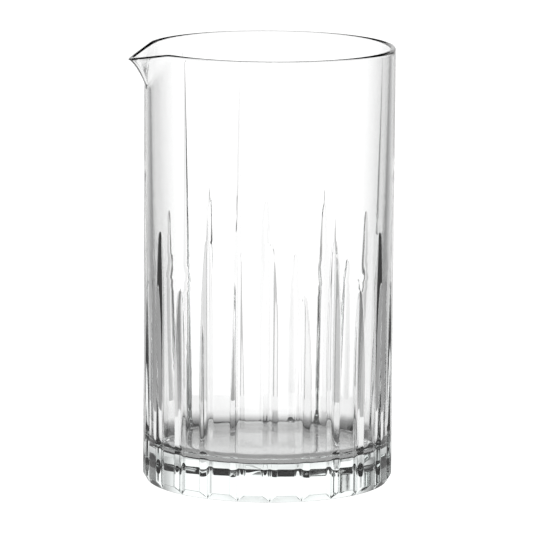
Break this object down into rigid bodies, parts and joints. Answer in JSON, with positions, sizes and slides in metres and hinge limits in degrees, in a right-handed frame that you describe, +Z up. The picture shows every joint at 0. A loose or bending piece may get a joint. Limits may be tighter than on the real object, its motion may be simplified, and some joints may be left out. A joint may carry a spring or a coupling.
{
  "type": "mixing glass",
  "caption": "Straight-sided clear bar mixing glass with a thick heel, vertical V-cuts of several heights that end in points, a bevelled foot and a small pulled pouring lip.",
  "frame": {"origin": "centre of the flat foot, on the axis of the glass", "axes": "+Z up along the axis of the glass from foot to rim; the pouring lip points along -X"},
  "size_m": [0.0945, 0.088, 0.154],
  "materials": {
    "glass": "clear, fire-polished, faint grey-green in the thick heel"
  },
  "bodies": {
    "root": {"vessel": "glass"}
  },
  "joints": []
}
